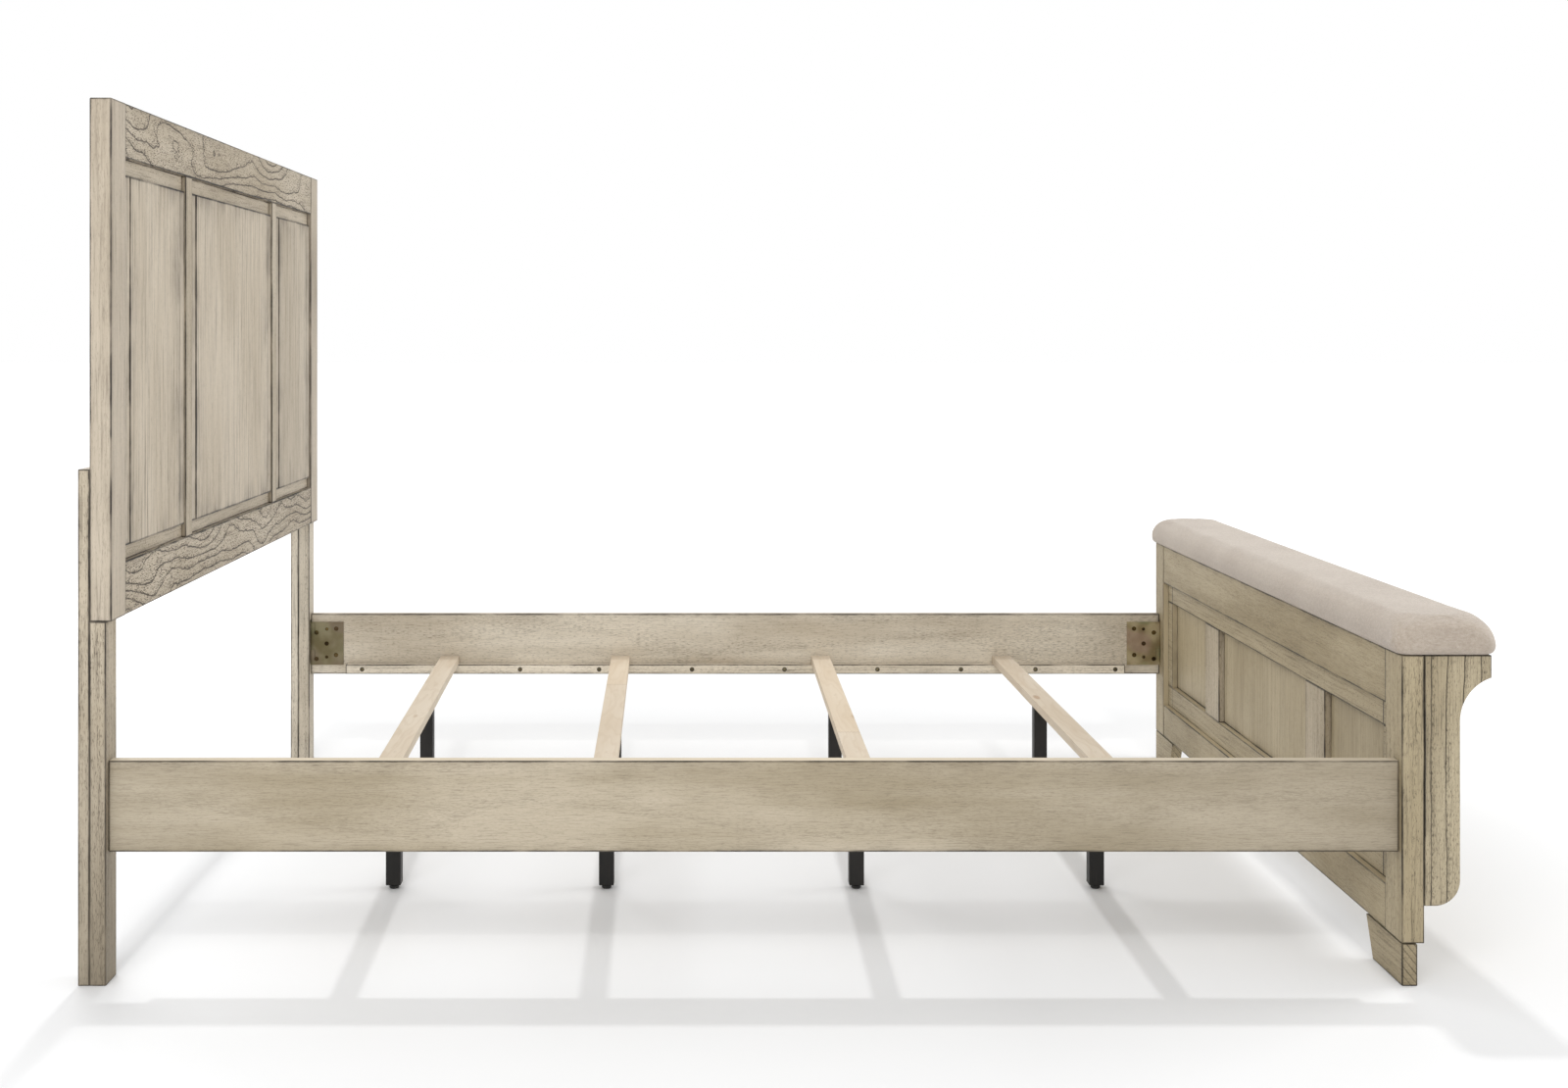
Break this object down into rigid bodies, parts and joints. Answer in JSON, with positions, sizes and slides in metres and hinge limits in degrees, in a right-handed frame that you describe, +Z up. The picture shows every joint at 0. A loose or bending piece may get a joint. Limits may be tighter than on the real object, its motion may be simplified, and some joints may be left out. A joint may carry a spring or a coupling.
{
  "type": "wooden bed frame",
  "caption": "Queen panel bed frame with tall panelled headboard, hook-on side rails, cross slats on levelling legs, and a corbelled footboard with a padded top.",
  "frame": {"origin": "on the floor under the centre of the overall box, midway between the outer sides", "axes": "+X from headboard to footboard, +Y to the far side rail, +Z up"},
  "size_m": [2.281, 1.626, 1.4275],
  "materials": {
    "finished_wood": "satin greige stain with brown glaze in edges and joints",
    "grained_wood": "satin greige stain with open cathedral grain",
    "footboard_wood": "satin greige stain, slightly darker",
    "corbel_wood": "satin greige stain with strong dark open grain",
    "raw_wood": "unfinished sanded softwood",
    "plywood": "thin plywood, stained",
    "black_paint": "black painted softwood",
    "black_glide": "moulded black glide on a threaded stud",
    "black_bolt": "black oxide socket bolt",
    "screw_steel": "zinc plated wood screws",
    "yellow_zinc": "yellow iridescent zinc plate",
    "cushion_fabric": "plain woven taupe upholstery"
  },
  "bodies": {
    "frame": {"bracket_screws": "yellow_zinc", "cleat_screws": "screw_steel", "cushion_seat_board": "plywood", "far_rail_cleat": "finished_wood", "far_rail_hook_brackets": "yellow_zinc", "far_side_rail": "finished_wood", "footboard_bottom_rail": "footboard_wood", "footboard_centre_panel": "footboard_wood", "footboard_cushion": "cushion_fabric", "footboard_far_bracket_foot": "footboard_wood", "footboard_far_corbel": "corbel_wood", "footboard_far_panel": "footboard_wood", "footboard_far_stile": "footboard_wood", "footboard_inner_frame": "footboard_wood", "footboard_mullions": "footboard_wood", "footboard_near_bracket_foot": "footboard_wood", "footboard_near_corbel": "corbel_wood", "footboard_near_panel": "footboard_wood", "footboard_near_stile": "footboard_wood", "footboard_outer_board": "footboard_wood", "footboard_top_rail": "footboard_wood", "headboard_back_battens": "finished_wood", "headboard_backing_board": "plywood", "headboard_bottom_rail": "grained_wood", "headboard_centre_panel": "finished_wood", "headboard_far_leg_block": "finished_wood", "headboard_far_leg_board": "finished_wood", "headboard_far_panel": "finished_wood", "headboard_far_stile": "finished_wood", "headboard_inner_bands": "finished_wood", "headboard_leg_bolts": "black_bolt", "headboard_mullions": "finished_wood", "headboard_near_leg_block": "finished_wood", "headboard_near_leg_board": "finished_wood", "headboard_near_panel": "finished_wood", "headboard_near_stile": "finished_wood", "headboard_top_rail": "grained_wood", "near_rail_cleat": "finished_wood", "near_rail_hook_brackets": "yellow_zinc", "near_side_rail": "finished_wood", "post_hook_receivers": "yellow_zinc", "slat_four": "raw_wood", "slat_four_support_legs": "black_paint", "slat_one": "raw_wood", "slat_one_support_legs": "black_paint", "slat_screws": "screw_steel", "slat_three": "raw_wood", "slat_three_support_legs": "black_paint", "slat_two": "raw_wood", "slat_two_support_legs": "black_paint", "support_leg_inserts": "yellow_zinc"},
    "slat_four_far_foot": {"slat_four_far_leveller": "black_glide"},
    "slat_four_near_foot": {"slat_four_near_leveller": "black_glide"},
    "slat_one_far_foot": {"slat_one_far_leveller": "black_glide"},
    "slat_one_near_foot": {"slat_one_near_leveller": "black_glide"},
    "slat_three_far_foot": {"slat_three_far_leveller": "black_glide"},
    "slat_three_near_foot": {"slat_three_near_leveller": "black_glide"},
    "slat_two_far_foot": {"slat_two_far_leveller": "black_glide"},
    "slat_two_near_foot": {"slat_two_near_leveller": "black_glide"}
  },
  "joints": [
    {"name": "slat_four_far_leveller_travel", "type": "slide", "parent": "frame", "child": "slat_four_far_foot", "axis": [0, 0, 1], "range_m": [-0.015, 0.001]},
    {"name": "slat_four_near_leveller_travel", "type": "slide", "parent": "frame", "child": "slat_four_near_foot", "axis": [0, 0, 1], "range_m": [-0.015, 0.001]},
    {"name": "slat_one_far_leveller_travel", "type": "slide", "parent": "frame", "child": "slat_one_far_foot", "axis": [0, 0, 1], "range_m": [-0.015, 0.001]},
    {"name": "slat_one_near_leveller_travel", "type": "slide", "parent": "frame", "child": "slat_one_near_foot", "axis": [0, 0, 1], "range_m": [-0.015, 0.001]},
    {"name": "slat_three_far_leveller_travel", "type": "slide", "parent": "frame", "child": "slat_three_far_foot", "axis": [0, 0, 1], "range_m": [-0.015, 0.001]},
    {"name": "slat_three_near_leveller_travel", "type": "slide", "parent": "frame", "child": "slat_three_near_foot", "axis": [0, 0, 1], "range_m": [-0.015, 0.001]},
    {"name": "slat_two_far_leveller_travel", "type": "slide", "parent": "frame", "child": "slat_two_far_foot", "axis": [0, 0, 1], "range_m": [-0.015, 0.001]},
    {"name": "slat_two_near_leveller_travel", "type": "slide", "parent": "frame", "child": "slat_two_near_foot", "axis": [0, 0, 1], "range_m": [-0.015, 0.001]}
  ]
}
